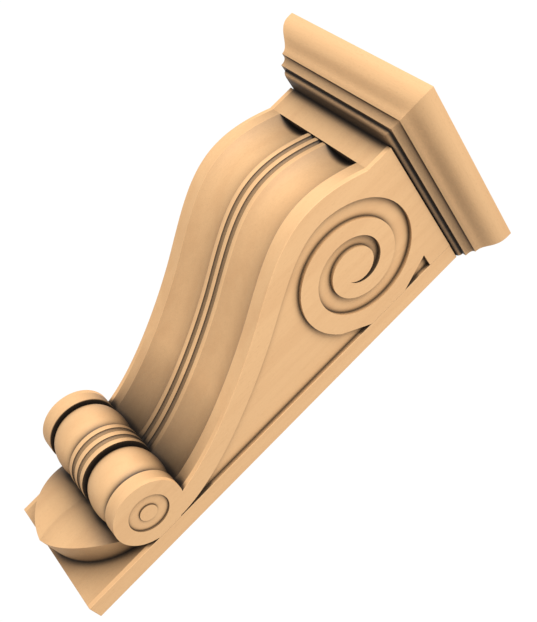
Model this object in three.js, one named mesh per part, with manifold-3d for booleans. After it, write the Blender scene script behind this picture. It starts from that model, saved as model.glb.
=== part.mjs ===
// A carved wooden scroll corbel: crown moulding, scroll body and back plate.
// Millimetres, +Z up. The wall is the plane Y = 0 and the corbel stands out from it towards -Y,
// so a "depth" is a distance from the wall. The origin is on the back, on the centre line.

import * as THREE from "three";
import { mergeVertices } from "three/addons/utils/BufferGeometryUtils.js";
import Module from "manifold-3d";

// Back plate
const plateOverhang = 0.4; // past the body on each side
const plateHeight = 320.2;
const plateThickness = 13;
const mountHeight = 160; // from the plate's foot up to the origin
const seatGap = 0.3; // between pieces that touch

// Scroll body
const bodyWidth = 104;
const blockDepth = 111.3; // front of the frieze block
const blockHeight = 18.2;

// Front edge of the scroll, side view: from the foot, through the steepest place, to the block
const scrollFootDepth = 27.6;
const scrollFootHeight = 80;
const scrollFootPull = 36;
const scrollWaistDepth = 84;
const scrollWaistHeight = 192.2;
const scrollWaistSlope = 39; // degrees from upright
const scrollWaistPullDown = 23;
const scrollWaistPullUp = 51.5;
const scrollTopSlope = -24.2; // degrees from upright, where it meets the block
const scrollTopPull = 55.2;

// Rims, coves, reeds and the grooves between them, seen along the scroll and round the barrel
const rimWidth = 11.3;
const coveDepth = 6;
const reedPitch = 7.7;
const reedWidth = 3.6;
const reedCount = 3;
const reedDrop = 0.9; // from the rims' faces down to the reeds' crowns
const grooveDepth = 1.6;

// Barrel at the foot, its axis along X
const barrelDepth = 36.5;
const barrelHeight = 69.4;
const barrelRadius = 24.3;
const drumRadius = 25.2; // each drum swells past the rims between its two low ends
const drumEndRadius = 18;
const ringRadius = 24.6; // at the rings' crowns
const eyeRingRadius = 14;
const eyeRadius = 6;
const eyeRingDepth = 1.5;
const eyeRise = 1.1;

// Drop under the barrel
const dropHalfWidth = 44.8;
const dropTopHeight = 61;
const dropSweepRadius = 59; // each half of its pointed outline
const dropReach = 37.4;
const lobeRadius = 65; // the two swelling halves of its face
const lobeOffset = 12;
const lobeHeight = 20.8;

// Recessed panel and spiral on each side
const reliefDepth = 3;
const borderWidth = 13.6;
const spiralLift = 2; // its centre above the scroll's foremost place
const spiralStretch = 1.026; // taller and narrower than round by this much
const spiralStartRadius = 49.1;
const spiralEndRadius = 10.4;
const spiralTurns = 1.66;
const spiralOuterPower = 1.12;
const spiralInnerStartRadius = 47.1;
const spiralInnerLead = 0.38; // turns by which the inner line starts before the outer one
const spiralInnerPower = 1.75;
const panelTipHeight = 249.9;
const pocketTopHeight = 302.6;
const pocketWidth = 11.1;
const pocketHeight = 23.4;

// Crown moulding, its members from the top down, each with a height and a step in from the last
const capHalfWidth = 70;
const capDepth = 139.3;
const capHeight = 32.8;
const filletHeight = 3.4;
const ogeeHeight = 19.7;
const ogeeInset = 10;
const ogeeSwell = 10.8; // height of its round upper half
const ogeeHollow = 7.5; // height of its hollow lower half
const cavettoHeight = 5.6;
const cavettoInset = 3.4;
const soffitInset = 3;
const bedInset = 7.3;

// Facets
const scrollSteps = 42;
const grooveSides = 5;
const coveSides = 10;
const drumSides = 8;
const barrelSides = 44;
const dropSides = 12;
const lobeSides = 36;
const spiralSteps = 56;
const crownSides = 10;

const halfWidth = bodyWidth / 2;
const plateWidth = bodyWidth + 2 * plateOverhang;
const coveOuter = halfWidth - rimWidth;
const reedsHalfWidth = ((reedCount - 1) * reedPitch + reedWidth) / 2;
const coveMiddle = (coveOuter + reedsHalfWidth) / 2;
const coveHalfWidth = (coveOuter - reedsHalfWidth) / 2;
const bodyBackDepth = plateThickness + seatGap;
const blockBottom = plateHeight - blockHeight;
const capBottom = plateHeight + seatGap;
const capTop = capBottom + capHeight;
const past = 2; // how far a cutter runs past the face that it cuts

// Side view onto the world: shape x is depth, shape y is height, the extrusion runs along X
const sideView = new THREE.Matrix4().makeBasis(
  new THREE.Vector3(0, -1, 0),
  new THREE.Vector3(0, 0, 1),
  new THREE.Vector3(-1, 0, 0),
);
// Front view onto the world: shape x is X, shape y is height, the extrusion runs out from the wall
const frontView = new THREE.Matrix4().makeBasis(
  new THREE.Vector3(1, 0, 0),
  new THREE.Vector3(0, 0, 1),
  new THREE.Vector3(0, -1, 0),
);

const wasm = await Module();
wasm.setup();

function solid(geometry) {
  const bare = geometry.clone();
  bare.deleteAttribute("normal");
  bare.deleteAttribute("uv");
  const merged = mergeVertices(bare, 1e-4);
  return new wasm.Manifold(
    new wasm.Mesh({
      numProp: 3,
      vertProperties: new Float32Array(merged.attributes.position.array),
      triVerts: new Uint32Array(merged.index.array),
    }),
  );
}

function surface(manifold) {
  const mesh = manifold.getMesh();
  const geometry = new THREE.BufferGeometry();
  geometry.setAttribute("position", new THREE.BufferAttribute(mesh.vertProperties, 3));
  geometry.setIndex(new THREE.BufferAttribute(mesh.triVerts, 1));
  geometry.computeVertexNormals();
  return geometry;
}

// A shape in side view, extruded along X from one plane to another
function sidePrism(shape, fromX, toX) {
  const geometry = new THREE.ExtrudeGeometry(shape, { depth: toX - fromX, bevelEnabled: false });
  return solid(geometry.applyMatrix4(sideView).translate(toX, 0, 0));
}

// A shape in front view, extruded from one depth to another
function frontPrism(shape, fromDepth, toDepth) {
  const geometry = new THREE.ExtrudeGeometry(shape, {
    depth: toDepth - fromDepth,
    bevelEnabled: false,
    curveSegments: dropSides,
  });
  return solid(geometry.applyMatrix4(frontView).translate(0, -fromDepth, 0));
}

// A plain block between two depths and two heights, a given distance to each side
function block(halfX, fromDepth, toDepth, fromHeight, toHeight) {
  const depth = toDepth - fromDepth;
  const height = toHeight - fromHeight;
  const geometry = new THREE.BoxGeometry(2 * halfX, depth, height);
  return solid(geometry.translate(0, -fromDepth - depth / 2, fromHeight + height / 2));
}

function leaning(degrees, length) {
  const angle = THREE.MathUtils.degToRad(degrees);
  return new THREE.Vector3(0, -Math.sin(angle) * length, Math.cos(angle) * length);
}

// The scroll's front edge, from the foot up, with a straight run on past the block's underside
function scrollEdge() {
  const foot = new THREE.Vector3(0, -scrollFootDepth, scrollFootHeight);
  const waist = new THREE.Vector3(0, -scrollWaistDepth, scrollWaistHeight);
  const top = new THREE.Vector3(0, -blockDepth, blockBottom);
  const path = new THREE.CurvePath();
  path.add(
    new THREE.CubicBezierCurve3(
      foot,
      foot.clone().add(leaning(0, scrollFootPull)),
      waist.clone().sub(leaning(scrollWaistSlope, scrollWaistPullDown)),
      waist,
    ),
  );
  path.add(
    new THREE.CubicBezierCurve3(
      waist,
      waist.clone().add(leaning(scrollWaistSlope, scrollWaistPullUp)),
      top.clone().sub(leaning(scrollTopSlope, scrollTopPull)),
      top,
    ),
  );
  path.add(new THREE.LineCurve3(top, top.clone().add(leaning(scrollTopSlope, blockHeight / 2))));
  return path;
}

// The edge moved in from the front by a distance, as side view points
function insetEdge(points, inset) {
  return points.map((point, i) => {
    const before = points[Math.max(i - 1, 0)];
    const after = points[Math.min(i + 1, points.length - 1)];
    const along = after.clone().sub(before).normalize();
    return new THREE.Vector2(-point.y - along.z * inset, point.z - along.y * inset);
  });
}

// The reeds and grooves from left to right: x, and how far each point lies below the rims' face
function reedPoints() {
  const grooveHalf = (reedPitch - reedWidth) / 2;
  const points = [];
  for (let reed = 0; reed < reedCount; reed += 1) {
    const centre = (reed - (reedCount - 1) / 2) * reedPitch;
    points.push(new THREE.Vector2(centre - reedWidth / 2, reedDrop));
    points.push(new THREE.Vector2(centre + reedWidth / 2, reedDrop));
    for (let i = 1; reed < reedCount - 1 && i < grooveSides; i += 1) {
      const angle = (Math.PI * i) / grooveSides;
      const x = centre + reedPitch / 2 - grooveHalf * Math.cos(angle);
      points.push(new THREE.Vector2(x, reedDrop + grooveDepth * Math.sin(angle)));
    }
  }
  return points;
}

// The left cove, from the rim's inner edge to the first reed, as x and the depth below the rims
function covePoints() {
  const radius = (coveHalfWidth ** 2 + coveDepth ** 2) / (2 * coveDepth);
  const turn = 2 * Math.atan(coveDepth / coveHalfWidth);
  const points = [];
  for (let i = 0; i < coveSides; i += 1) {
    const angle = turn * ((2 * i) / coveSides - 1);
    const sag = radius * Math.cos(angle) - radius + coveDepth;
    const x = -coveMiddle + radius * Math.sin(angle);
    points.push(new THREE.Vector2(x, sag + (reedDrop * i) / coveSides));
  }
  return points;
}

// What is taken out between the rims, seen along the scroll: y = 0 is the rims' face
function carvedSection() {
  const cove = covePoints();
  const across = [
    new THREE.Vector2(-coveOuter, -past),
    ...cove,
    ...reedPoints(),
    ...cove.map((point) => new THREE.Vector2(-point.x, point.y)).reverse(),
    new THREE.Vector2(coveOuter, -past),
  ];
  return new THREE.Shape(across.map((point) => new THREE.Vector2(point.x, -point.y)));
}

// The barrel's outline from its axis: x is the radius, y is the place along the axis
function barrelOutline() {
  const bulge = drumRadius - drumEndRadius;
  const right = [];
  for (let i = 0; i <= drumSides; i += 1) {
    const share = (2 * i) / drumSides - 1;
    const radius = drumEndRadius + bulge * Math.sqrt(1 - share ** 2);
    right.push(new THREE.Vector2(radius, coveMiddle + share * coveHalfWidth));
  }
  right.push(new THREE.Vector2(barrelRadius, coveOuter));
  right.push(new THREE.Vector2(barrelRadius, halfWidth));
  right.push(new THREE.Vector2(0, halfWidth));
  const left = right.map((point) => new THREE.Vector2(point.x, -point.y)).reverse();
  const outerRadius = ringRadius + reedDrop;
  const rings = reedPoints().map((point) => new THREE.Vector2(outerRadius - point.y, point.x));
  return [...left, ...rings, ...right];
}

function barrel() {
  const geometry = new THREE.LatheGeometry(barrelOutline(), barrelSides);
  return solid(geometry.rotateZ(-Math.PI / 2).translate(0, -barrelDepth, barrelHeight));
}

// What is sunk round the eye on one end of the barrel, side 1 or -1 along X
function eyeRing(side) {
  const floor = halfWidth - eyeRingDepth;
  const outline = [
    new THREE.Vector2(0, floor + eyeRise),
    new THREE.Vector2(eyeRadius, floor + eyeRise),
    new THREE.Vector2(eyeRadius, floor),
    new THREE.Vector2(eyeRingRadius, floor),
    new THREE.Vector2(eyeRingRadius, halfWidth + past),
    new THREE.Vector2(0, halfWidth + past),
  ];
  const geometry = new THREE.LatheGeometry(outline, barrelSides).rotateZ((-side * Math.PI) / 2);
  return solid(geometry.translate(0, -barrelDepth, barrelHeight));
}

// The drop: a tongue with a bluntly pointed foot, its face two swelling lobes with a crease between
function drop() {
  const centre = dropSweepRadius - dropHalfWidth;
  const tip = Math.acos(centre / dropSweepRadius);
  const tongue = new THREE.Shape();
  tongue.moveTo(dropHalfWidth, dropTopHeight);
  tongue.absarc(-centre, dropTopHeight, dropSweepRadius, 0, -tip, true);
  tongue.absarc(centre, dropTopHeight, dropSweepRadius, tip - Math.PI, -Math.PI, true);
  tongue.closePath();
  const lobe = (side) => {
    const ball = new THREE.SphereGeometry(lobeRadius, lobeSides, lobeSides / 2);
    return solid(ball.translate(side * lobeOffset, lobeRadius - dropReach, lobeHeight));
  };
  return frontPrism(tongue, bodyBackDepth, dropReach + past).intersect(lobe(-1).add(lobe(1)));
}

// The recessed panel on a side: up along the border, round the spiral and back down its inner line
function panelShape(edge) {
  const apex = edge.reduce((a, b) => (b.y < a.y ? b : a));
  const centreDepth = -apex.y - borderWidth - spiralStartRadius / spiralStretch;
  const centreHeight = apex.z + spiralLift;
  const onSpiral = (turns, radius) => {
    const angle = 2 * Math.PI * turns;
    return new THREE.Vector2(
      centreDepth + (radius * Math.cos(angle)) / spiralStretch,
      centreHeight + radius * Math.sin(angle) * spiralStretch,
    );
  };
  const law = (share, start, power) =>
    spiralEndRadius + (start - spiralEndRadius) * (1 - share) ** power;
  const outline = insetEdge(edge, borderWidth).filter((point) => point.y < centreHeight - past);
  for (let i = 0; i <= spiralSteps; i += 1) {
    const turns = (spiralTurns * i) / spiralSteps;
    outline.push(onSpiral(turns, law(i / spiralSteps, spiralStartRadius, spiralOuterPower)));
  }
  const innerTurns = spiralTurns + spiralInnerLead;
  for (let i = 1; i <= spiralSteps; i += 1) {
    const turns = spiralTurns - (innerTurns * i) / spiralSteps;
    const share = 1 - i / spiralSteps;
    outline.push(onSpiral(turns, law(share, spiralInnerStartRadius, spiralInnerPower)));
  }
  outline.push(new THREE.Vector2(plateThickness, panelTipHeight));
  outline.push(new THREE.Vector2(plateThickness - past, panelTipHeight));
  outline.push(new THREE.Vector2(plateThickness - past, scrollFootHeight));
  return new THREE.Shape(outline);
}

// The small three-cornered pocket under the cap, beside the plate
function pocketShape() {
  return new THREE.Shape([
    new THREE.Vector2(plateThickness - past, pocketTopHeight),
    new THREE.Vector2(plateThickness - past, pocketTopHeight - pocketHeight),
    new THREE.Vector2(plateThickness, pocketTopHeight - pocketHeight),
    new THREE.Vector2(plateThickness + pocketWidth, pocketTopHeight),
  ]);
}

// The blank runs down behind the barrel to the drop's top, so that nothing there is hollow
function scrollBody() {
  const path = scrollEdge();
  const edge = path.getSpacedPoints(scrollSteps);
  const outline = edge.map((point) => new THREE.Vector2(-point.y, point.z));
  outline.push(new THREE.Vector2(bodyBackDepth, edge[edge.length - 1].z));
  outline.push(new THREE.Vector2(bodyBackDepth, dropTopHeight));
  outline.push(new THREE.Vector2(scrollFootDepth, dropTopHeight));
  const scroll = sidePrism(new THREE.Shape(outline), -halfWidth, halfWidth);
  const groove = solid(
    new THREE.ExtrudeGeometry(carvedSection(), { steps: scrollSteps, extrudePath: path }),
  );
  const below = block(bodyWidth, 0, capDepth, scrollFootHeight - bodyWidth, blockBottom);
  const frieze = block(halfWidth, bodyBackDepth, blockDepth, blockBottom, plateHeight);
  let body = scroll.subtract(groove.intersect(below)).add(frieze);
  for (const shape of [panelShape(edge), pocketShape()]) {
    body = body
      .subtract(sidePrism(shape, halfWidth - reliefDepth, halfWidth + past))
      .subtract(sidePrism(shape, -halfWidth - past, -halfWidth + reliefDepth));
  }
  body = body.add(barrel()).add(drop()).subtract(eyeRing(1)).subtract(eyeRing(-1));
  const behind = block(bodyWidth, -plateThickness, bodyBackDepth, -past, capTop);
  return surface(body.subtract(behind));
}

// The crown's outline: x is the distance out from the face that it would have at full width
function crownOutline() {
  const ogeeTop = capTop - filletHeight;
  const ogeeBottom = ogeeTop - ogeeHeight;
  const cavettoBottom = ogeeBottom - cavettoHeight;
  const shape = new THREE.Shape();
  shape.moveTo(0, capTop);
  shape.lineTo(0, ogeeTop);
  const upperPull = ogeeTop - ogeeSwell;
  const lowerPull = ogeeBottom + ogeeHollow;
  shape.bezierCurveTo(0, upperPull, -ogeeInset, lowerPull, -ogeeInset, ogeeBottom);
  const cavettoX = -ogeeInset - cavettoInset;
  shape.quadraticCurveTo(cavettoX, ogeeBottom, cavettoX, cavettoBottom);
  shape.lineTo(cavettoX - soffitInset, cavettoBottom);
  const bedX = cavettoX - soffitInset;
  shape.quadraticCurveTo(bedX, capBottom, bedX - bedInset, capBottom);
  return shape.getPoints(crownSides);
}

// A slab with the crown's outline on two sides, or on the front and cut square behind
function crownSlab(sideReach, otherReach) {
  const outline = crownOutline();
  const right = outline.map((point) => new THREE.Vector2(sideReach + point.x, point.y));
  const left = outline.map((point) => new THREE.Vector2(otherReach(point), point.y)).reverse();
  return new THREE.Shape([...right, ...left]);
}

function capMoulding() {
  const mirrored = crownSlab(capHalfWidth, (point) => -capHalfWidth - point.x);
  const sides = frontPrism(mirrored, 0, capDepth + past);
  const front = sidePrism(crownSlab(capDepth, () => 0), -capHalfWidth - past, capHalfWidth + past);
  return surface(sides.intersect(front));
}

function backPlate() {
  const geometry = new THREE.BoxGeometry(plateWidth, plateThickness, plateHeight);
  return geometry.translate(0, -plateThickness / 2, plateHeight / 2);
}

function wood(color) {
  return new THREE.MeshStandardMaterial({ color, roughness: 0.62, metalness: 0 });
}

const corbel = new THREE.Group();
corbel.position.z = -mountHeight;

function addPiece(name, geometry, color) {
  const mesh = new THREE.Mesh(geometry, wood(color));
  mesh.name = name;
  corbel.add(mesh);
}

addPiece("cap_moulding", capMoulding(), 0xe6b885);
addPiece("scroll_body", scrollBody(), 0xe9bc88);
addPiece("back_plate", backPlate(), 0xe2b481);

const root = new THREE.Group();
root.add(corbel);

export default root;
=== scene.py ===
import math

import bmesh
import bpy
from mathutils import Matrix, Vector
from mathutils.geometry import interpolate_bezier


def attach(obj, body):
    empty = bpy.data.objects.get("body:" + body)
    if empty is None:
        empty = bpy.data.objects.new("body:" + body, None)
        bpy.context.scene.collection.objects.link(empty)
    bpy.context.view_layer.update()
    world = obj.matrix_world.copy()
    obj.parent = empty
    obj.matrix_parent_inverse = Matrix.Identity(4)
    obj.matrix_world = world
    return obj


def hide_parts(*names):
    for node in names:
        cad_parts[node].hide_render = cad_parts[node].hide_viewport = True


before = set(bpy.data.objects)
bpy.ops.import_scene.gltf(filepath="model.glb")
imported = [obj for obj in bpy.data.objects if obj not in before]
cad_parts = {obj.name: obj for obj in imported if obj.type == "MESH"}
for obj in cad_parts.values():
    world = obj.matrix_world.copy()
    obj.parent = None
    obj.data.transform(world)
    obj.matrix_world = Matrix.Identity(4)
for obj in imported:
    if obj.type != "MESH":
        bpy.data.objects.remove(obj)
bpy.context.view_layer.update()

mm = 0.001
boardFoot = -160 * mm  # heights are given above the foot of the board
nearly = 0.001 * mm  # two places this close count as one
mergeReach = 0.002 * mm
cutReach = 0.0001 * mm  # a point this near to a cutting plane lies on it
arrisAngle = 30  # degrees; the edges of the planed pieces turn by more than this


# x is sideways, depth is out from the wall, both in mm
def place(x, depth, height):
    return Vector((x * mm, -depth * mm, boardFoot + height * mm))


def deselectAll():
    if bpy.context.object and bpy.context.object.mode == "EDIT":
        bpy.ops.object.mode_set(mode="OBJECT")
    bpy.ops.object.select_all(action="DESELECT")


def choose(piece):
    deselectAll()
    bpy.context.view_layer.objects.active = piece
    piece.select_set(True)


def reopen(piece):
    choose(piece)
    bpy.ops.object.mode_set(mode="EDIT")


# Names the fresh primitive, settles its place into its mesh and opens it for editing
def openPiece(name):
    piece = bpy.context.object
    piece.name = name
    piece.data.name = name
    bpy.ops.object.transform_apply(location=True, rotation=True, scale=True)
    bpy.ops.object.mode_set(mode="EDIT")
    bpy.ops.mesh.select_all(action="SELECT")
    return piece


# Selects by a test on the place of a vertex, or on all the vertices of a face
def selectWhere(piece, kind, test):
    bpy.ops.mesh.select_mode(type=kind)
    bpy.ops.mesh.select_all(action="DESELECT")
    mesh = bmesh.from_edit_mesh(piece.data)
    for part in mesh.verts if kind == "VERT" else mesh.faces:
        corners = [part] if kind == "VERT" else part.verts
        if all(test(corner.co) for corner in corners):
            part.select_set(True)
    mesh.select_flush_mode()
    bmesh.update_edit_mesh(piece.data)


def growTo(step, scale=None, about=(0, 0, 0)):
    bpy.ops.mesh.extrude_region_move(TRANSFORM_OT_translate={"value": step})
    if scale:
        bpy.ops.transform.resize(value=scale, center_override=about)


# A face drawn by leading one vertex from corner to corner, like a router along a template
def drawnFace(name, corners):
    deselectAll()
    bpy.ops.mesh.primitive_plane_add(size=mm, location=corners[0])
    piece = openPiece(name)
    bpy.ops.mesh.select_mode(type="VERT")
    bpy.ops.mesh.select_all(action="SELECT")
    bpy.ops.mesh.merge(type="CENTER")
    for before, after in zip(corners, corners[1:]):
        bpy.ops.mesh.extrude_region_move(TRANSFORM_OT_translate={"value": after - before})
    bpy.ops.mesh.select_all(action="SELECT")
    bpy.ops.mesh.edge_face_add()
    bpy.ops.mesh.select_mode(type="FACE")
    bpy.ops.mesh.select_all(action="SELECT")
    return piece


# Merges doubles, turns all faces outwards and leaves edit mode
def closePiece(piece):
    bpy.ops.mesh.select_mode(type="FACE")
    bpy.ops.mesh.select_all(action="SELECT")
    bpy.ops.mesh.remove_doubles(threshold=mergeReach)
    bpy.ops.mesh.dissolve_degenerate(threshold=mergeReach)
    bpy.ops.mesh.select_all(action="SELECT")
    bpy.ops.mesh.normals_make_consistent(inside=False)
    deselectAll()
    return piece


# Gives a piece a modifier with its settings, and applies it
def modify(piece, kind, **settings):
    choose(piece)
    bpy.ops.object.modifier_add(type=kind)
    modifier = piece.modifiers[-1]
    for key, value in settings.items():
        setattr(modifier, key, value)
    bpy.ops.object.modifier_apply(modifier=modifier.name)


def combine(piece, tool, operation):
    modify(piece, "BOOLEAN", operation=operation, solver="MANIFOLD", object=tool)
    bpy.data.objects.remove(tool)


def roundEdges(piece, width):
    limit = math.radians(arrisAngle)
    modify(piece, "BEVEL", width=width * mm, segments=1, limit_method="ANGLE", angle_limit=limit)


# Rounds the shading of shallow edges and keeps the broad faces flat
def smoothBelow(piece, degrees):
    choose(piece)
    bpy.ops.object.shade_smooth_by_angle(angle=math.radians(degrees))
    modify(piece, "WEIGHTED_NORMAL", keep_sharp=True)


# The scroll's front edge in side view, as (depth, height) points with the slope at each
scroll = {
    "foot": (27.6, 80),
    "footPull": 36,
    "waist": (84, 192.2),
    "waistSlope": 39,  # degrees from upright
    "waistPullDown": 23,
    "waistPullUp": 51.5,
    "top": (111.3, 302),
    "topSlope": -24.2,
    "topPull": 55.2,
    "steps": 48,  # in each half
}


def scrollEdge():
    def flat(pair):
        return Vector((pair[0], pair[1], 0))

    def along(degrees, length):
        angle = math.radians(degrees)
        return Vector((math.sin(angle) * length, math.cos(angle) * length, 0))

    foot, waist, top = (flat(scroll[key]) for key in ("foot", "waist", "top"))
    lower = interpolate_bezier(
        foot,
        foot + along(0, scroll["footPull"]),
        waist - along(scroll["waistSlope"], scroll["waistPullDown"]),
        waist,
        scroll["steps"],
    )
    upper = interpolate_bezier(
        waist,
        waist + along(scroll["waistSlope"], scroll["waistPullUp"]),
        top - along(scroll["topSlope"], scroll["topPull"]),
        top,
        scroll["steps"],
    )
    return lower + upper[1:]


def slopesAlong(edge):
    slopes = []
    for i in range(len(edge)):
        run = edge[min(i + 1, len(edge) - 1)] - edge[max(i - 1, 0)]
        slopes.append(math.atan2(run.x, run.y))
    return slopes


edge = scrollEdge()
slopes = slopesAlong(edge)
print("stage: scroll edge of", len(edge), "levels")


# The block's width and the carving across its front, seen from above
carving = {
    "width": 104,
    "backDepth": 13.05,  # just clear of the board
    "bottomHeight": 61,  # hidden behind the barrel
    "blockTopHeight": 320.45,
    "ceiling": 0.02,  # rise of the block's underside from the carving to its front
    "rimWidth": 11.3,
    "rimRound": 0.4,  # outer arris
    "coveDepth": 6,
    "reedPitch": 7.7,
    "reedWidth": 3.6,
    "reedCrown": 0.2,
    "reedDrop": 0.9,
    "grooveDepth": 1.6,
    "roundSteps": 4,
    "coveSteps": 24,
    "reedSteps": 4,
    "grooveSteps": 14,
    "smoothBelow": 20,  # degrees; the crease between the drop's lobes turns by more
    "grainWay": "Z",
    "grainShift": (3.1, 5.7, 1.3),  # this piece's place in the pattern of the wood
    "hollowShadePower": 2.6,  # how strongly painted shade darkens broad hollows
}
halfWidth = carving["width"] / 2
channelOuter = halfWidth - carving["rimWidth"]
reedsHalf = carving["reedPitch"] + carving["reedWidth"] / 2
coveMiddle = (channelOuter + reedsHalf) / 2
coveHalf = (channelOuter - reedsHalf) / 2


# Points of a shallow arc from one side of a hollow or a crown to the other, as (x, sag)
def arcPoints(half, sag, steps):
    radius = (half ** 2 + sag ** 2) / (2 * sag)
    turn = 2 * math.atan(sag / half)
    angles = [turn * (2 * i / steps - 1) for i in range(steps + 1)]
    return [(radius * math.sin(a), radius * math.cos(a) - (radius - sag)) for a in angles]


# The three reeds with the two grooves between them, as (x, inward) from left to right
def reedPoints():
    pitch, half = carving["reedPitch"], carving["reedWidth"] / 2
    groove = pitch / 2 - half
    points = []
    for k in (-1, 0, 1):
        for x, rise in arcPoints(half, carving["reedCrown"], carving["reedSteps"]):
            points.append((k * pitch + x, carving["reedDrop"] - rise))
        if k == 1:
            break  # no groove after the last reed
        for i in range(1, carving["grooveSteps"]):
            angle = math.pi * i / carving["grooveSteps"]
            sag = carving["grooveDepth"] * math.sin(angle)
            x = (k + 0.5) * pitch - groove * math.cos(angle)
            points.append((x, carving["reedDrop"] + sag))
    return points


# How far in from the rims' face the carving lies, from the left side to the right
def sectionPoints():
    left = []
    arris = carving["rimRound"]
    for i in range(carving["roundSteps"] + 1):
        angle = math.pi / 2 * i / carving["roundSteps"]
        x = arris * (1 - math.cos(angle)) - halfWidth
        left.append((x, arris * (1 - math.sin(angle))))
    for x, sag in arcPoints(coveHalf, carving["coveDepth"], carving["coveSteps"])[:-1]:
        share = (x / coveHalf + 1) / 2
        left.append((-coveMiddle + x, sag + share * carving["reedDrop"]))
    right = [(-x, inward) for x, inward in reversed(left)]
    return left + reedPoints() + right


# The section is drawn at the foot, then lifted level by level along the scroll's edge
def carvedScroll():
    foot, back = carving["bottomHeight"], carving["backDepth"]
    corners = [place(x, edge[0].x - inward, foot) for x, inward in sectionPoints()]
    corners += [place(halfWidth, back, foot), place(-halfWidth, back, foot)]
    piece = drawnFace("carved_scroll", corners)
    behind = -back * mm - nearly

    def selectFront(level):
        selectWhere(piece, "VERT", lambda co: co.y < behind and abs(co.z - level) < nearly)

    def selectTop(level):
        selectWhere(piece, "FACE", lambda co: abs(co.z - level) < nearly)

    # Each level is a lift, a stretch of the carving with the slope and a shift of the front
    height, depth, stretch = foot, edge[0].x, 1.0
    for point, slope in zip(edge, slopes):
        growTo((0, 0, (point.y - height) * mm))
        level = boardFoot + point.y * mm
        selectFront(level)
        newStretch = 1 / math.cos(slope)
        about = (0, -depth * mm, 0)
        bpy.ops.transform.resize(value=(1, newStretch / stretch, 1), center_override=about)
        bpy.ops.transform.translate(value=(0, (depth - point.x) * mm, 0))
        selectTop(level)
        height, depth, stretch = point.y, point.x, newStretch

    # The frieze block: the section is pressed flat to a plain front, then goes straight up
    growTo((0, 0, carving["ceiling"] * mm))
    level = boardFoot + (height + carving["ceiling"]) * mm
    selectFront(level)
    bpy.ops.transform.resize(value=(1, 0, 1), center_override=(0, -depth * mm, 0))
    selectTop(level)
    growTo((0, 0, (carving["blockTopHeight"] - height - carving["ceiling"]) * mm))
    return closePiece(piece)


body = carvedScroll()
print("stage: carved scroll,", len(body.data.polygons), "faces")


# The barrel at the foot, turned about a sideways axis
barrel = {
    "depth": 36.5,
    "height": 69.4,
    "radius": 24.3,
    "lipRound": 0.8,
    "drumRadius": 25.2,
    "drumEndRadius": 18,
    "ringRadius": 24.6,
    "sides": 128,
    "drumSteps": 22,
}
barrelCentre = place(0, barrel["depth"], barrel["height"])


# (x, radius) stations from the middle of the barrel out to its right end
def barrelStations():
    outerRadius = barrel["ringRadius"] + carving["reedDrop"]
    stations = [(x, outerRadius - inward) for x, inward in reedPoints() if x > -nearly]
    bulge = barrel["drumRadius"] - barrel["drumEndRadius"]
    for i in range(barrel["drumSteps"] + 1):
        x = -math.cos(math.pi * i / barrel["drumSteps"])
        swell = bulge * math.sqrt(max(0, 1 - x ** 2))
        stations.append((coveMiddle + x * coveHalf, barrel["drumEndRadius"] + swell))
    lip = barrel["lipRound"]
    for i in range(carving["roundSteps"] + 1):
        angle = math.pi / 2 * i / carving["roundSteps"]
        x = channelOuter + lip * (1 - math.cos(angle))
        stations.append((x, barrel["radius"] - lip * (1 - math.sin(angle))))
    stations.append((halfWidth, barrel["radius"]))
    return stations


# A disc across the barrel's axis, open for editing
def barrelDisc(name, x, radius, sides):
    deselectAll()
    bpy.ops.mesh.primitive_circle_add(
        vertices=sides,
        radius=radius * mm,
        fill_type="NGON",
        location=barrelCentre + Vector((x * mm, 0, 0)),
        rotation=(0, math.pi / 2, 0),
    )
    return openPiece(name)


def turnedBarrel():
    half = barrelStations()
    stations = [(-x, r) for x, r in reversed(half)] + half[1:]
    x, radius = stations[0]
    piece = barrelDisc("turned_barrel", x, radius, barrel["sides"])
    for nextX, nextRadius in stations[1:]:
        ratio = nextRadius / radius
        growTo(((nextX - x) * mm, 0, 0), (1, ratio, ratio), barrelCentre)
        x, radius = nextX, nextRadius
    bpy.ops.mesh.select_all(action="SELECT")
    bpy.ops.mesh.bisect(
        plane_co=place(0, carving["backDepth"], 0),
        plane_no=(0, 1, 0),
        use_fill=True,
        clear_outer=True,
        threshold=cutReach,
    )
    return closePiece(piece)


# The sunk ring round the eye on each end of the barrel, as what is cut away
eye = {
    "ringRadius": 14,
    "ringDepth": 1.5,
    "radius": 6,
    "rise": 1.1,  # of the eye from the ring's floor
    "past": 2,  # how far the cutter stands out of the barrel's end
    "sides": 96,
}


def eyeCutter(side):
    floor = halfWidth - eye["ringDepth"]
    piece = barrelDisc("eye_ring", side * (floor + eye["rise"]), eye["radius"], eye["sides"])
    wider = eye["ringRadius"] / eye["radius"]
    growTo((-side * eye["rise"] * mm, 0, 0))
    growTo((0, 0, 0), (1, wider, wider), barrelCentre)
    growTo((side * (eye["ringDepth"] + eye["past"]) * mm, 0, 0))
    return closePiece(piece)


turned = turnedBarrel()
print("stage: barrel,", len(turned.data.polygons), "faces")


# The drop: a bluntly pointed tongue whose face swells in two lobes
drop = {
    "halfWidth": 44.8,
    "topHeight": 61,
    "sweepRadius": 59,
    "reach": 37.4,
    "lobeRadius": 65,
    "lobeOffset": 12,
    "lobeHeight": 20.8,
    "creaseMerge": 0.01,  # joins the halves where they meet
    "sides": 256,
}


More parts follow.
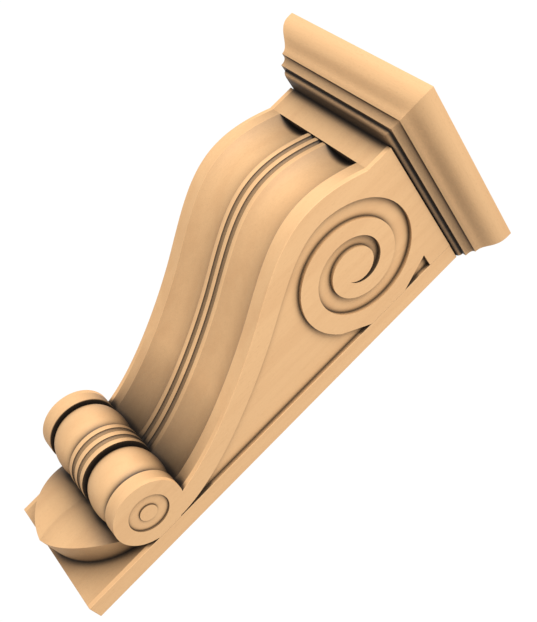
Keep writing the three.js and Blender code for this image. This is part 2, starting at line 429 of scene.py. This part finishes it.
# One half is a disc's rim cut by a ball, and the other is its mirror image
def swellingDrop():
    rimCentre = drop["halfWidth"] - drop["sweepRadius"]
    ballCentre = drop["reach"] - drop["lobeRadius"]
    deselectAll()
    bpy.ops.mesh.primitive_cylinder_add(
        vertices=drop["sides"],
        radius=drop["sweepRadius"] * mm,
        depth=2 * drop["reach"] * mm,
        location=place(rimCentre, drop["reach"] / 2, drop["topHeight"]),
        rotation=(math.pi / 2, 0, 0),
    )
    piece = closePiece(openPiece("swelling_drop"))
    bpy.ops.mesh.primitive_uv_sphere_add(
        segments=drop["sides"],
        ring_count=drop["sides"] // 2,
        radius=drop["lobeRadius"] * mm,
        location=place(drop["lobeOffset"], ballCentre, drop["lobeHeight"]),
    )
    ball = closePiece(openPiece("ball"))
    combine(piece, ball, "INTERSECT")
    reopen(piece)
    for cutPlace, normal, closed in (
        (place(0, 0, drop["topHeight"]), (0, 0, 1), True),
        (place(0, carving["backDepth"], 0), (0, 1, 0), True),
        (place(0, 0, 0), (-1, 0, 0), False),  # open where the other half joins
    ):
        bpy.ops.mesh.select_all(action="SELECT")
        bpy.ops.mesh.bisect(
            plane_co=cutPlace,
            plane_no=normal,
            use_fill=closed,
            clear_outer=True,
            threshold=cutReach,
        )
    modify(piece, "MIRROR", merge_threshold=drop["creaseMerge"] * mm)
    reopen(piece)
    return closePiece(piece)


lobes = swellingDrop()
print("stage: drop,", len(lobes.data.polygons), "faces")


# What is sunk into both sides: the panel with its spiral, and the small pocket
relief = {
    "depth": 3,
    "border": 13.6,  # between the panel and the scroll's edge
    "spiralLift": 2,  # of its centre above the scroll's widest level
    "spiralStretch": 1.026,  # taller than wide
    "joinGap": 2,  # the panel's edge stops this far below the spiral's centre
    "outerStart": 49.1,  # radius at which the sunk band's outer edge starts
    "outerPower": 1.12,  # how much faster it winds in at first
    "innerStart": 47.1,
    "innerPower": 1.75,
    "innerLead": 0.38,  # turns by which the inner edge starts before the outer one
    "endRadius": 10.4,
    "turns": 1.66,
    "steps": 120,
    "tipHeight": 249.9,  # where the inner edge meets the board
    "boardDepth": 13,
    "pocketTop": 302.6,
    "pocketWidth": 11.1,
    "pocketHeight": 23.4,
    "past": 2,  # how far the cutters stand out of the block
}


def panelOutline():
    apex = max(edge, key=lambda point: point.x)
    stretch = relief["spiralStretch"]
    centreDepth = apex.x - relief["border"] - relief["outerStart"] / stretch
    centreHeight = apex.y + relief["spiralLift"]
    inset = []
    for point, slope in zip(edge, slopes):
        aside, up = relief["border"] * math.cos(slope), relief["border"] * math.sin(slope)
        inset.append((point.x - aside, point.y + up))
    outline = [point for point in inset if point[1] < centreHeight - relief["joinGap"]]

    def onSpiral(turns, radius):
        angle = 2 * math.pi * turns
        return (
            centreDepth + radius * math.cos(angle) / stretch,
            centreHeight + radius * math.sin(angle) * stretch,
        )

    # The radius falls to the end's, fast at first where the power is high
    def windIn(share, start, power):
        return relief["endRadius"] + (start - relief["endRadius"]) * (1 - share) ** power

    for i in range(relief["steps"] + 1):
        share = i / relief["steps"]
        radius = windIn(share, relief["outerStart"], relief["outerPower"])
        outline.append(onSpiral(relief["turns"] * share, radius))
    innerTurns = relief["turns"] + relief["innerLead"]
    for i in range(1, relief["steps"] + 1):
        share = i / relief["steps"]
        radius = windIn(1 - share, relief["innerStart"], relief["innerPower"])
        outline.append(onSpiral(relief["turns"] - innerTurns * share, radius))
    board, past = relief["boardDepth"], relief["past"]
    outline.append((board, relief["tipHeight"]))
    outline.append((board - past, relief["tipHeight"]))
    outline.append((board - past, edge[0].y))
    return outline


def pocketOutline():
    board, past = relief["boardDepth"], relief["past"]
    bottom = relief["pocketTop"] - relief["pocketHeight"]
    return [
        (board - past, relief["pocketTop"]),
        (board - past, bottom),
        (board, bottom),
        (board + relief["pocketWidth"], relief["pocketTop"]),
    ]


def sideCutter(name, outline, side):
    inner = side * (halfWidth - relief["depth"])
    piece = drawnFace(name, [place(inner, *point) for point in outline])
    growTo((side * (relief["depth"] + relief["past"]) * mm, 0, 0))
    return closePiece(piece)


combine(body, turned, "UNION")
combine(body, lobes, "UNION")
for side in (-1, 1):
    combine(body, eyeCutter(side), "DIFFERENCE")
    for name, outline in (("panel", panelOutline()), ("pocket", pocketOutline())):
        combine(body, sideCutter(name, outline, side), "DIFFERENCE")
reopen(body)
closePiece(body)
smoothBelow(body, carving["smoothBelow"])
print("stage: scroll body,", len(body.data.polygons), "faces")


# The crown: a mitred moulding, each member from the top down
crown = {
    "halfWidth": 70,
    "depth": 139.3,
    "topHeight": 353.3,
    "filletHeight": 3.4,
    "ogeeHeight": 19.7,
    "ogeeInset": 10,
    "ogeeSwell": 10.8,
    "ogeeHollow": 7.5,
    "cavettoHeight": 5.6,
    "cavettoInset": 3.4,
    "soffitInset": 3,
    "bedInset": 7.3,
    "bottomHeight": 320.5,  # just clear of the block
    "curveSteps": 20,
    "edgeRound": 0.35,
    "grainWay": "X",
    "grainShift": (0, 0, 0),
    "hollowShadePower": 8,
}


# (inset from the face at full width, height) from the top down
def crownProfile():
    def curve(start, pullA, pullB, end):
        knots = [Vector((x, z, 0)) for x, z in (start, pullA, pullB, end)]
        return [(p.x, p.y) for p in interpolate_bezier(*knots, crown["curveSteps"])]

    # A quarter hollow, as a bezier with one pull
    def hollow(start, pull, end):
        pullA = [s + (p - s) * 2 / 3 for s, p in zip(start, pull)]
        pullB = [e + (p - e) * 2 / 3 for e, p in zip(end, pull)]
        return curve(start, pullA, pullB, end)

    ogeeTop = crown["topHeight"] - crown["filletHeight"]
    ogeeBottom = ogeeTop - crown["ogeeHeight"]
    cavettoBottom = ogeeBottom - crown["cavettoHeight"]
    ogeeX = -crown["ogeeInset"]
    cavettoX = ogeeX - crown["cavettoInset"]
    bedX = cavettoX - crown["soffitInset"]
    bottom = crown["bottomHeight"]
    points = [(0, crown["topHeight"])]
    points += curve(
        (0, ogeeTop),
        (0, ogeeTop - crown["ogeeSwell"]),
        (ogeeX, ogeeBottom + crown["ogeeHollow"]),
        (ogeeX, ogeeBottom),
    )
    points += hollow((ogeeX, ogeeBottom), (cavettoX, ogeeBottom), (cavettoX, cavettoBottom))[1:]
    points += hollow((bedX, cavettoBottom), (bedX, bottom), (bedX - crown["bedInset"], bottom))
    return points


def mitredCrown():
    profile = crownProfile()
    deselectAll()
    bpy.ops.mesh.primitive_plane_add(size=1, location=place(0, crown["depth"] / 2, profile[0][1]))
    bpy.context.object.scale = (2 * crown["halfWidth"] * mm, crown["depth"] * mm, 1)
    piece = openPiece("mitred_crown")
    for before, after in zip(profile, profile[1:]):
        wide = (crown["halfWidth"] + after[0]) / (crown["halfWidth"] + before[0])
        deep = (crown["depth"] + after[0]) / (crown["depth"] + before[0])
        growTo((0, 0, (after[1] - before[1]) * mm), (wide, deep, 1))
    closePiece(piece)
    roundEdges(piece, crown["edgeRound"])
    smoothBelow(piece, arrisAngle)
    return piece


cap = mitredCrown()
print("stage: crown,", len(cap.data.polygons), "faces")


# The board on the wall, planed flush with the block
board = {
    "width": carving["width"],
    "height": carving["blockTopHeight"],
    "thickness": relief["boardDepth"],
    "edgeRound": 0.2,
    "grainWay": "Z",
    "grainShift": (11.9, 2.3, 7.7),
    "hollowShadePower": 2,
}


def planedBoard():
    deselectAll()
    width, height, thickness = (board[key] * mm for key in ("width", "height", "thickness"))
    middle = place(0, board["thickness"] / 2, board["height"] / 2)
    bpy.ops.mesh.primitive_cube_add(size=1, location=middle)
    bpy.context.object.scale = (width, thickness, height)
    piece = closePiece(openPiece("planed_board"))
    roundEdges(piece, board["edgeRound"])
    smoothBelow(piece, arrisAngle)
    return piece


back = planedBoard()
print("stage: board")


# sRGB hex to linear colour
def linear(hexColour):
    channels = [int(hexColour[i:i + 2], 16) / 255 for i in (1, 3, 5)]
    return tuple(
        c / 12.92 if c <= 0.04045 else ((c + 0.055) / 1.055) ** 2.4 for c in channels
    ) + (1,)


# Beech with a thin matt oil. A mark's size is in mm, across and along the grain. It starts
# where its noise passes "from" and is strongest beyond "full"
wood = {
    "colour": "#F0C08A",
    "ring": {  # the broad bands of flat-sawn yearly rings
        "size": (9, 260),
        "detail": 3.0,
        "from": 0.393,
        "full": 0.679,
        "colour": "#D29A66",
        "share": 0.16,
    },
    "fibre": {  # the fine vessel lines, drawn coarser than their real 0.1 mm so that they show
        "size": (0.7, 16),
        "detail": 3.0,
        "from": 0.4,
        "full": 0.75,
        "colour": "#D29A66",
        "share": 0.1,
    },
    "ray": {  # the short dark flecks that tell beech from other pale woods
        "size": (0.45, 2.4),
        "detail": 1.0,
        "from": 0.6,
        "full": 0.72,
        "colour": "#A8754A",
        "share": 0.13,
    },
    "shadeColour": "#170E07",  # painted shade: a near-black brown laid over the wood in corners and hollows
    "cornerReach": 6,
    "cornerFull": 0.45,  # openness at which the painted shade covers the wood, and at which it ends
    "cornerNone": 0.99,
    "cornerLeast": 0.06,
    "hollowReach": 55,
    "sideShadeFadeFrom": 48.1,  # the painted shade of broad hollows fades out on the flat sides beyond these places across
    "sideShadeFadeTo": 48.9,
    "roughness": 0.6,
    "metallic": 0.0,
    "ior": 1.5,
    "bumpDepth": 0.05,
    "bumpStrength": 0.5,
}


# Adds a node with its settings and links. An input is named, or numbered where names repeat,
# and is given a value, a socket, or a node, which stands for its first output in use
def addNode(tree, kind, inputs=None, **settings):
    node = tree.nodes.new("ShaderNode" + kind)
    for key, value in settings.items():
        setattr(node, key, value)
    for key, value in (inputs or {}).items():
        if isinstance(key, str):
            socket = next(one for one in node.inputs if one.enabled and one.name == key)
        else:
            socket = node.inputs[key]
        if isinstance(value, bpy.types.Node):
            value = next(one for one in value.outputs if one.enabled)
        if isinstance(value, bpy.types.NodeSocket):
            tree.links.new(value, socket)
        else:
            socket.default_value = value
    return node


# Planed or carved beech: to the eye an even pale tan with a faint straight grain and no shine.
# Shade is painted into its colour, black in tight corners and browner in broad hollows
def beech(name, cut):
    material = bpy.data.materials.new(name)
    material.use_nodes = True
    tree = material.node_tree
    tree.nodes.clear()
    coords = addNode(tree, "TexCoord").outputs["Object"]
    split = addNode(tree, "SeparateXYZ", {"Vector": coords}).outputs
    aside = addNode(tree, "Math", {0: split["X"]}, operation="ABSOLUTE")
    grainSpace = coords
    if cut["grainWay"] == "X":  # the crown's returns run out from the wall, past a mitre
        mitre = -(crown["depth"] - crown["halfWidth"]) * mm
        out = addNode(tree, "Math", {0: mitre, 1: split["Y"]}, operation="SUBTRACT")
        onFront = addNode(tree, "Math", {0: out, 1: aside}, operation="GREATER_THAN")
        swapped = addNode(
            tree, "CombineXYZ", {"X": split["Y"], "Y": split["X"], "Z": split["Z"]}
        )
        grainSpace = addNode(
            tree, "Mix", {"Factor": onFront, "A": swapped, "B": coords}, data_type="VECTOR"
        )

    bare = linear(wood["colour"])
    noises = {}
    for key in ("ring", "fibre", "ray"):
        mark = wood[key]
        across, along = (1 / (size * mm) for size in mark["size"])
        alongX = cut["grainWay"] == "X"
        scale = (along, across, across) if alongX else (across, across, along)
        laid = addNode(
            tree,
            "Mapping",
            {"Vector": grainSpace, "Location": cut["grainShift"], "Scale": scale},
        )
        noises[key] = addNode(
            tree, "TexNoise", {"Vector": laid, "Scale": 1.0, "Detail": mark["detail"]}
        )
        share = addNode(
            tree,
            "MapRange",
            {
                "Value": noises[key],
                "From Min": mark["from"],
                "From Max": mark["full"],
                "To Min": 0.0,
                "To Max": mark["share"],
            },
            interpolation_type="SMOOTHSTEP",
        )
        bare = addNode(
            tree,
            "Mix",
            {"Factor": share, "A": bare, "B": linear(mark["colour"])},
            data_type="RGBA",
        )

    # How free of painted shade the wood is, in its corners and then in its hollows
    corner = addNode(tree, "AmbientOcclusion", {"Distance": wood["cornerReach"] * mm})
    cornerUnshaded = addNode(
        tree,
        "MapRange",
        {
            "Value": corner.outputs["AO"],
            "From Min": wood["cornerFull"],
            "From Max": wood["cornerNone"],
            "To Min": wood["cornerLeast"],
            "To Max": 1.0,
        },
        interpolation_type="SMOOTHSTEP",
    )
    hollow = addNode(tree, "AmbientOcclusion", {"Distance": wood["hollowReach"] * mm})
    hollowUnshaded = addNode(
        tree, "Math", {0: hollow.outputs["AO"], 1: cut["hollowShadePower"]}, operation="POWER"
    )
    # The painted shade of broad hollows is faded out on the flat sides
    if cut["grainWay"] == "Z":
        onSide = addNode(
            tree,
            "MapRange",
            {
                "Value": aside,
                "From Min": wood["sideShadeFadeFrom"] * mm,
                "From Max": wood["sideShadeFadeTo"] * mm,
                "To Min": 0.0,
                "To Max": 1.0,
            },
            interpolation_type="SMOOTHSTEP",
        )
        hollowUnshaded = addNode(tree, "Math", {0: hollowUnshaded, 1: onSide}, operation="MAXIMUM")
    # Painted shade: the wood's colour is mixed towards the shade colour where the occlusion is
    # strong
    unshaded = addNode(tree, "Math", {0: cornerUnshaded, 1: hollowUnshaded}, operation="MULTIPLY")
    shadedColour = addNode(
        tree, "Mix", {"Factor": unshaded, "A": linear(wood["shadeColour"]), "B": bare}, data_type="RGBA"
    )

    ridges = addNode(
        tree,
        "Bump",
        {
            "Height": noises["fibre"],
            "Strength": wood["bumpStrength"],
            "Distance": wood["bumpDepth"] * mm,
        },
    )
    shader = addNode(
        tree,
        "BsdfPrincipled",
        {
            "Base Color": shadedColour,
            "Normal": ridges,
            "Roughness": wood["roughness"],
            "Metallic": wood["metallic"],
            "IOR": wood["ior"],
        },
    )
    addNode(tree, "OutputMaterial", {"Surface": shader})
    return material


for piece, node, slot, material in (
    (cap, "cap_moulding", "moulding_wood", beech("beech moulding", crown)),
    (body, "scroll_body", "carved_wood", beech("carved beech", carving)),
    (back, "back_plate", "board_wood", beech("planed board", board)),
):
    piece.data.materials.clear()
    piece.data.materials.append(material)
    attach(piece, "root")
    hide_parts(node)
print("stage: materials")


studio = {
    "cameraPlace": (0.5131, -0.5598, -0.0013),
    "cameraTarget": (0.0, -0.0343, 0.0504),
    "cameraRoll": 45.02,  # degrees, as the photograph is turned
    "lens": 65.66,
    "floorHeight": -0.9,
    "floorRadius": 1.7,
    "floorSides": 96,
    "floorColour": "#C8C8C8",
    "floorRoughness": 0.9,
    "keyPlace": (0.7, -1.23, 0.7),
    "keySize": 0.8,
    "keyPower": 20,
    "roomLight": 0.63,
    "backdropLight": 1.02,
    "backdropWay": (-0.70, 0.71, 0.07),
    "backdropFrom": 0.6,  # cosine of the angle off that way where the backdrop starts
    "backdropFull": 0.88,
}


def aimedAt(target, start):
    return (Vector(target) - Vector(start)).to_track_quat("-Z", "Y").to_matrix().to_4x4()


def setStudio():
    deselectAll()
    bpy.ops.mesh.primitive_circle_add(
        vertices=studio["floorSides"],
        radius=studio["floorRadius"],
        fill_type="NGON",
        location=(0, 0, studio["floorHeight"]),
    )
    floor = bpy.context.object
    floor.name = "studio_floor"
    paint = bpy.data.materials.new("matt floor paint")  # an even pale grey, without gloss
    paint.use_nodes = True
    shader = paint.node_tree.nodes["Principled BSDF"]
    shader.inputs["Base Color"].default_value = linear(studio["floorColour"])
    shader.inputs["Roughness"].default_value = studio["floorRoughness"]
    floor.data.materials.append(paint)

    # A white backdrop behind the corbel and a dimmer room round it
    world = bpy.data.worlds.new("studio room")
    bpy.context.scene.world = world
    world.use_nodes = True
    tree = world.node_tree
    way = addNode(tree, "TexCoord").outputs["Generated"]
    facing = addNode(
        tree, "VectorMath", {0: way, 1: studio["backdropWay"]}, operation="DOT_PRODUCT"
    )
    light = addNode(
        tree,
        "MapRange",
        {
            "Value": facing,
            "From Min": studio["backdropFrom"],
            "From Max": studio["backdropFull"],
            "To Min": studio["roomLight"],
            "To Max": studio["backdropLight"],
        },
        interpolation_type="SMOOTHSTEP",
    )
    background = tree.nodes["Background"]
    background.inputs["Color"].default_value = (1, 1, 1, 1)
    tree.links.new(light.outputs["Result"], background.inputs["Strength"])

    bpy.ops.object.light_add(type="AREA", location=studio["keyPlace"])
    key = bpy.context.object
    key.name = "key_softbox"
    key.data.energy = studio["keyPower"]
    key.data.size = studio["keySize"]
    key.rotation_euler = aimedAt((0, 0, 0), studio["keyPlace"]).to_euler()

    bpy.ops.object.camera_add(location=studio["cameraPlace"])
    camera = bpy.context.object
    roll = Matrix.Rotation(math.radians(studio["cameraRoll"]), 4, "Z")
    look = aimedAt(studio["cameraTarget"], studio["cameraPlace"])
    camera.rotation_euler = (look @ roll).to_euler()
    camera.data.lens = studio["lens"]
    bpy.context.scene.camera = camera
    bpy.context.scene.view_settings.view_transform = "Standard"


setStudio()
print("stage: studio")
